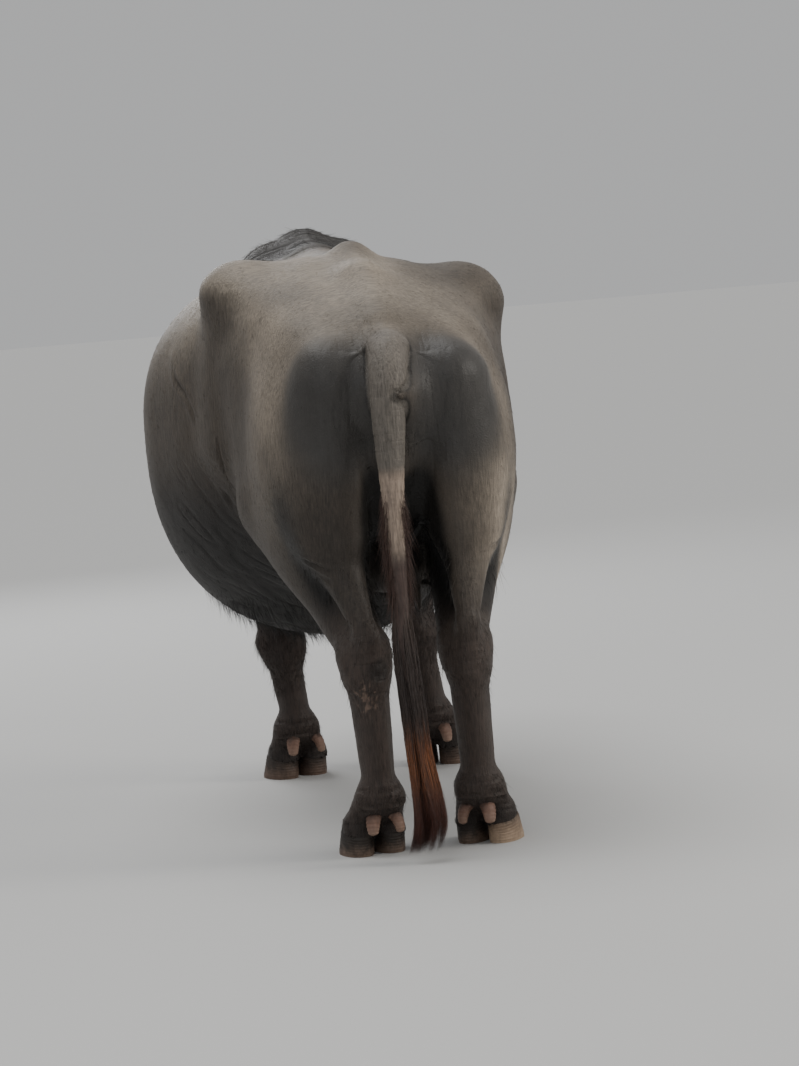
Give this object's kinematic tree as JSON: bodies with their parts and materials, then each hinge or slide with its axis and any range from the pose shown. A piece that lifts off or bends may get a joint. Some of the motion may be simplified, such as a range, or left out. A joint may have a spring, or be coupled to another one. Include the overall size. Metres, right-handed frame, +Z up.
{
  "type": "water buffalo",
  "caption": "Life-size water buffalo cow standing still, dark grey hide, full belly, tightly curled horns, long brown tail switch.",
  "frame": {"origin": "bottom centre of the whole animal's bounding box, on the floor under the belly", "axes": "+Z up, +Y to the animal's rear, +X to its left"},
  "size_m": [0.9222, 2.4898, 1.4153],
  "materials": {
    "hide": "matte",
    "tail_hair": "matte",
    "horn": "satin",
    "hoof": "matte",
    "dewclaw": "matte",
    "eye": "gloss"
  },
  "bodies": {
    "root": {"torso": "hide", "neck": "hide", "head": "hide", "ear_left": "hide", "ear_right": "hide", "tail": "hide", "udder": "hide", "fore_leg_left": "hide", "fore_leg_right": "hide", "hind_leg_left": "hide", "hind_leg_right": "hide", "tail_switch": "tail_hair", "horn_left": "horn", "horn_right": "horn", "eye_left": "eye", "eye_right": "eye", "claw_fore_left_outer": "hoof", "dewclaw_fore_left_outer": "dewclaw", "claw_fore_left_inner": "hoof", "dewclaw_fore_left_inner": "dewclaw", "claw_fore_right_outer": "hoof", "dewclaw_fore_right_outer": "dewclaw", "claw_fore_right_inner": "hoof", "dewclaw_fore_right_inner": "dewclaw", "claw_hind_left_outer": "hoof", "dewclaw_hind_left_outer": "dewclaw", "claw_hind_left_inner": "hoof", "dewclaw_hind_left_inner": "dewclaw", "claw_hind_right_outer": "hoof", "dewclaw_hind_right_outer": "dewclaw", "claw_hind_right_inner": "hoof", "dewclaw_hind_right_inner": "dewclaw"}
  },
  "joints": []
}
